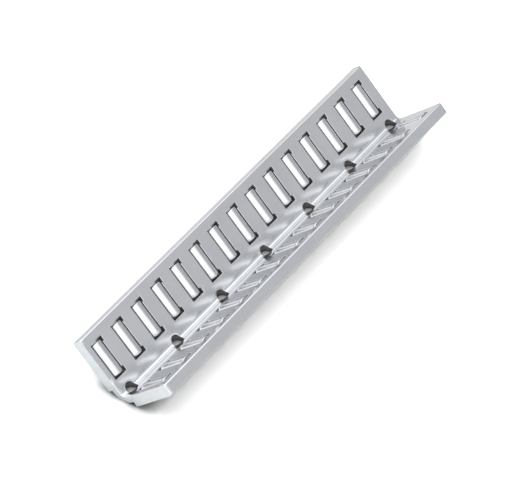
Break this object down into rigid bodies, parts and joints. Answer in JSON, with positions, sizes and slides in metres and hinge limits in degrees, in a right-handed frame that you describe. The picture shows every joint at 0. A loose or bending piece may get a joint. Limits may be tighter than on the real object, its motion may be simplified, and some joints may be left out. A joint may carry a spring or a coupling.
{
  "type": "angled needle roller cage",
  "caption": "V-shaped needle roller cage for linear guideways: perforated metal legs joined by a flexible web, with a free-turning roller in every pocket.",
  "frame": {"origin": "mid-length of the cage, in its plane of symmetry, on the lowest line of the rounded outside of the web", "axes": "+X along the cage from the end with the short margin to the end with the long one; +Z out of the V along the plane of symmetry; +Y towards the left leg"},
  "size_m": [0.0604, 0.0146, 0.0066],
  "materials": {
    "cage_aluminium": "smooth satin machined aluminium",
    "needle_steel": "polished hardened bearing steel"
  },
  "bodies": {
    "cage": {"cage": "cage_aluminium"},
    "left_needle_01": {"left_needle_01": "needle_steel"},
    "left_needle_02": {"left_needle_02": "needle_steel"},
    "left_needle_03": {"left_needle_03": "needle_steel"},
    "left_needle_04": {"left_needle_04": "needle_steel"},
    "left_needle_05": {"left_needle_05": "needle_steel"},
    "left_needle_06": {"left_needle_06": "needle_steel"},
    "left_needle_07": {"left_needle_07": "needle_steel"},
    "left_needle_08": {"left_needle_08": "needle_steel"},
    "left_needle_09": {"left_needle_09": "needle_steel"},
    "left_needle_10": {"left_needle_10": "needle_steel"},
    "left_needle_11": {"left_needle_11": "needle_steel"},
    "left_needle_12": {"left_needle_12": "needle_steel"},
    "left_needle_13": {"left_needle_13": "needle_steel"},
    "left_needle_14": {"left_needle_14": "needle_steel"},
    "left_needle_15": {"left_needle_15": "needle_steel"},
    "right_needle_01": {"right_needle_01": "needle_steel"},
    "right_needle_02": {"right_needle_02": "needle_steel"},
    "right_needle_03": {"right_needle_03": "needle_steel"},
    "right_needle_04": {"right_needle_04": "needle_steel"},
    "right_needle_05": {"right_needle_05": "needle_steel"},
    "right_needle_06": {"right_needle_06": "needle_steel"},
    "right_needle_07": {"right_needle_07": "needle_steel"},
    "right_needle_08": {"right_needle_08": "needle_steel"},
    "right_needle_09": {"right_needle_09": "needle_steel"},
    "right_needle_10": {"right_needle_10": "needle_steel"},
    "right_needle_11": {"right_needle_11": "needle_steel"},
    "right_needle_12": {"right_needle_12": "needle_steel"},
    "right_needle_13": {"right_needle_13": "needle_steel"},
    "right_needle_14": {"right_needle_14": "needle_steel"},
    "right_needle_15": {"right_needle_15": "needle_steel"}
  },
  "joints": [
    {"name": "left_needle_01_spin", "type": "hinge", "parent": "cage", "child": "left_needle_01", "pos_m": [-0.02833, 0.00403, 0.00335], "axis": [0, 0.7071, 0.7071], "continuous": true},
    {"name": "left_needle_02_spin", "type": "hinge", "parent": "cage", "child": "left_needle_02", "pos_m": [-0.02433, 0.00403, 0.00335], "axis": [0, 0.7071, 0.7071], "continuous": true},
    {"name": "left_needle_03_spin", "type": "hinge", "parent": "cage", "child": "left_needle_03", "pos_m": [-0.02033, 0.00403, 0.00335], "axis": [0, 0.7071, 0.7071], "continuous": true},
    {"name": "left_needle_04_spin", "type": "hinge", "parent": "cage", "child": "left_needle_04", "pos_m": [-0.01633, 0.00403, 0.00335], "axis": [0, 0.7071, 0.7071], "continuous": true},
    {"name": "left_needle_05_spin", "type": "hinge", "parent": "cage", "child": "left_needle_05", "pos_m": [-0.01233, 0.00403, 0.00335], "axis": [0, 0.7071, 0.7071], "continuous": true},
    {"name": "left_needle_06_spin", "type": "hinge", "parent": "cage", "child": "left_needle_06", "pos_m": [-0.00833, 0.00403, 0.00335], "axis": [0, 0.7071, 0.7071], "continuous": true},
    {"name": "left_needle_07_spin", "type": "hinge", "parent": "cage", "child": "left_needle_07", "pos_m": [-0.00433, 0.00403, 0.00335], "axis": [0, 0.7071, 0.7071], "continuous": true},
    {"name": "left_needle_08_spin", "type": "hinge", "parent": "cage", "child": "left_needle_08", "pos_m": [-0.00033, 0.00403, 0.00335], "axis": [0, 0.7071, 0.7071], "continuous": true},
    {"name": "left_needle_09_spin", "type": "hinge", "parent": "cage", "child": "left_needle_09", "pos_m": [0.00367, 0.00403, 0.00335], "axis": [0, 0.7071, 0.7071], "continuous": true},
    {"name": "left_needle_10_spin", "type": "hinge", "parent": "cage", "child": "left_needle_10", "pos_m": [0.00767, 0.00403, 0.00335], "axis": [0, 0.7071, 0.7071], "continuous": true},
    {"name": "left_needle_11_spin", "type": "hinge", "parent": "cage", "child": "left_needle_11", "pos_m": [0.01167, 0.00403, 0.00335], "axis": [0, 0.7071, 0.7071], "continuous": true},
    {"name": "left_needle_12_spin", "type": "hinge", "parent": "cage", "child": "left_needle_12", "pos_m": [0.01567, 0.00403, 0.00335], "axis": [0, 0.7071, 0.7071], "continuous": true},
    {"name": "left_needle_13_spin", "type": "hinge", "parent": "cage", "child": "left_needle_13", "pos_m": [0.01967, 0.00403, 0.00335], "axis": [0, 0.7071, 0.7071], "continuous": true},
    {"name": "left_needle_14_spin", "type": "hinge", "parent": "cage", "child": "left_needle_14", "pos_m": [0.02367, 0.00403, 0.00335], "axis": [0, 0.7071, 0.7071], "continuous": true},
    {"name": "left_needle_15_spin", "type": "hinge", "parent": "cage", "child": "left_needle_15", "pos_m": [0.02767, 0.00403, 0.00335], "axis": [0, 0.7071, 0.7071], "continuous": true},
    {"name": "right_needle_01_spin", "type": "hinge", "parent": "cage", "child": "right_needle_01", "pos_m": [-0.02833, -0.00403, 0.00335], "axis": [0, -0.7071, 0.7071], "continuous": true},
    {"name": "right_needle_02_spin", "type": "hinge", "parent": "cage", "child": "right_needle_02", "pos_m": [-0.02433, -0.00403, 0.00335], "axis": [0, -0.7071, 0.7071], "continuous": true},
    {"name": "right_needle_03_spin", "type": "hinge", "parent": "cage", "child": "right_needle_03", "pos_m": [-0.02033, -0.00403, 0.00335], "axis": [0, -0.7071, 0.7071], "continuous": true},
    {"name": "right_needle_04_spin", "type": "hinge", "parent": "cage", "child": "right_needle_04", "pos_m": [-0.01633, -0.00403, 0.00335], "axis": [0, -0.7071, 0.7071], "continuous": true},
    {"name": "right_needle_05_spin", "type": "hinge", "parent": "cage", "child": "right_needle_05", "pos_m": [-0.01233, -0.00403, 0.00335], "axis": [0, -0.7071, 0.7071], "continuous": true},
    {"name": "right_needle_06_spin", "type": "hinge", "parent": "cage", "child": "right_needle_06", "pos_m": [-0.00833, -0.00403, 0.00335], "axis": [0, -0.7071, 0.7071], "continuous": true},
    {"name": "right_needle_07_spin", "type": "hinge", "parent": "cage", "child": "right_needle_07", "pos_m": [-0.00433, -0.00403, 0.00335], "axis": [0, -0.7071, 0.7071], "continuous": true},
    {"name": "right_needle_08_spin", "type": "hinge", "parent": "cage", "child": "right_needle_08", "pos_m": [-0.00033, -0.00403, 0.00335], "axis": [0, -0.7071, 0.7071], "continuous": true},
    {"name": "right_needle_09_spin", "type": "hinge", "parent": "cage", "child": "right_needle_09", "pos_m": [0.00367, -0.00403, 0.00335], "axis": [0, -0.7071, 0.7071], "continuous": true},
    {"name": "right_needle_10_spin", "type": "hinge", "parent": "cage", "child": "right_needle_10", "pos_m": [0.00767, -0.00403, 0.00335], "axis": [0, -0.7071, 0.7071], "continuous": true},
    {"name": "right_needle_11_spin", "type": "hinge", "parent": "cage", "child": "right_needle_11", "pos_m": [0.01167, -0.00403, 0.00335], "axis": [0, -0.7071, 0.7071], "continuous": true},
    {"name": "right_needle_12_spin", "type": "hinge", "parent": "cage", "child": "right_needle_12", "pos_m": [0.01567, -0.00403, 0.00335], "axis": [0, -0.7071, 0.7071], "continuous": true},
    {"name": "right_needle_13_spin", "type": "hinge", "parent": "cage", "child": "right_needle_13", "pos_m": [0.01967, -0.00403, 0.00335], "axis": [0, -0.7071, 0.7071], "continuous": true},
    {"name": "right_needle_14_spin", "type": "hinge", "parent": "cage", "child": "right_needle_14", "pos_m": [0.02367, -0.00403, 0.00335], "axis": [0, -0.7071, 0.7071], "continuous": true},
    {"name": "right_needle_15_spin", "type": "hinge", "parent": "cage", "child": "right_needle_15", "pos_m": [0.02767, -0.00403, 0.00335], "axis": [0, -0.7071, 0.7071], "continuous": true}
  ]
}
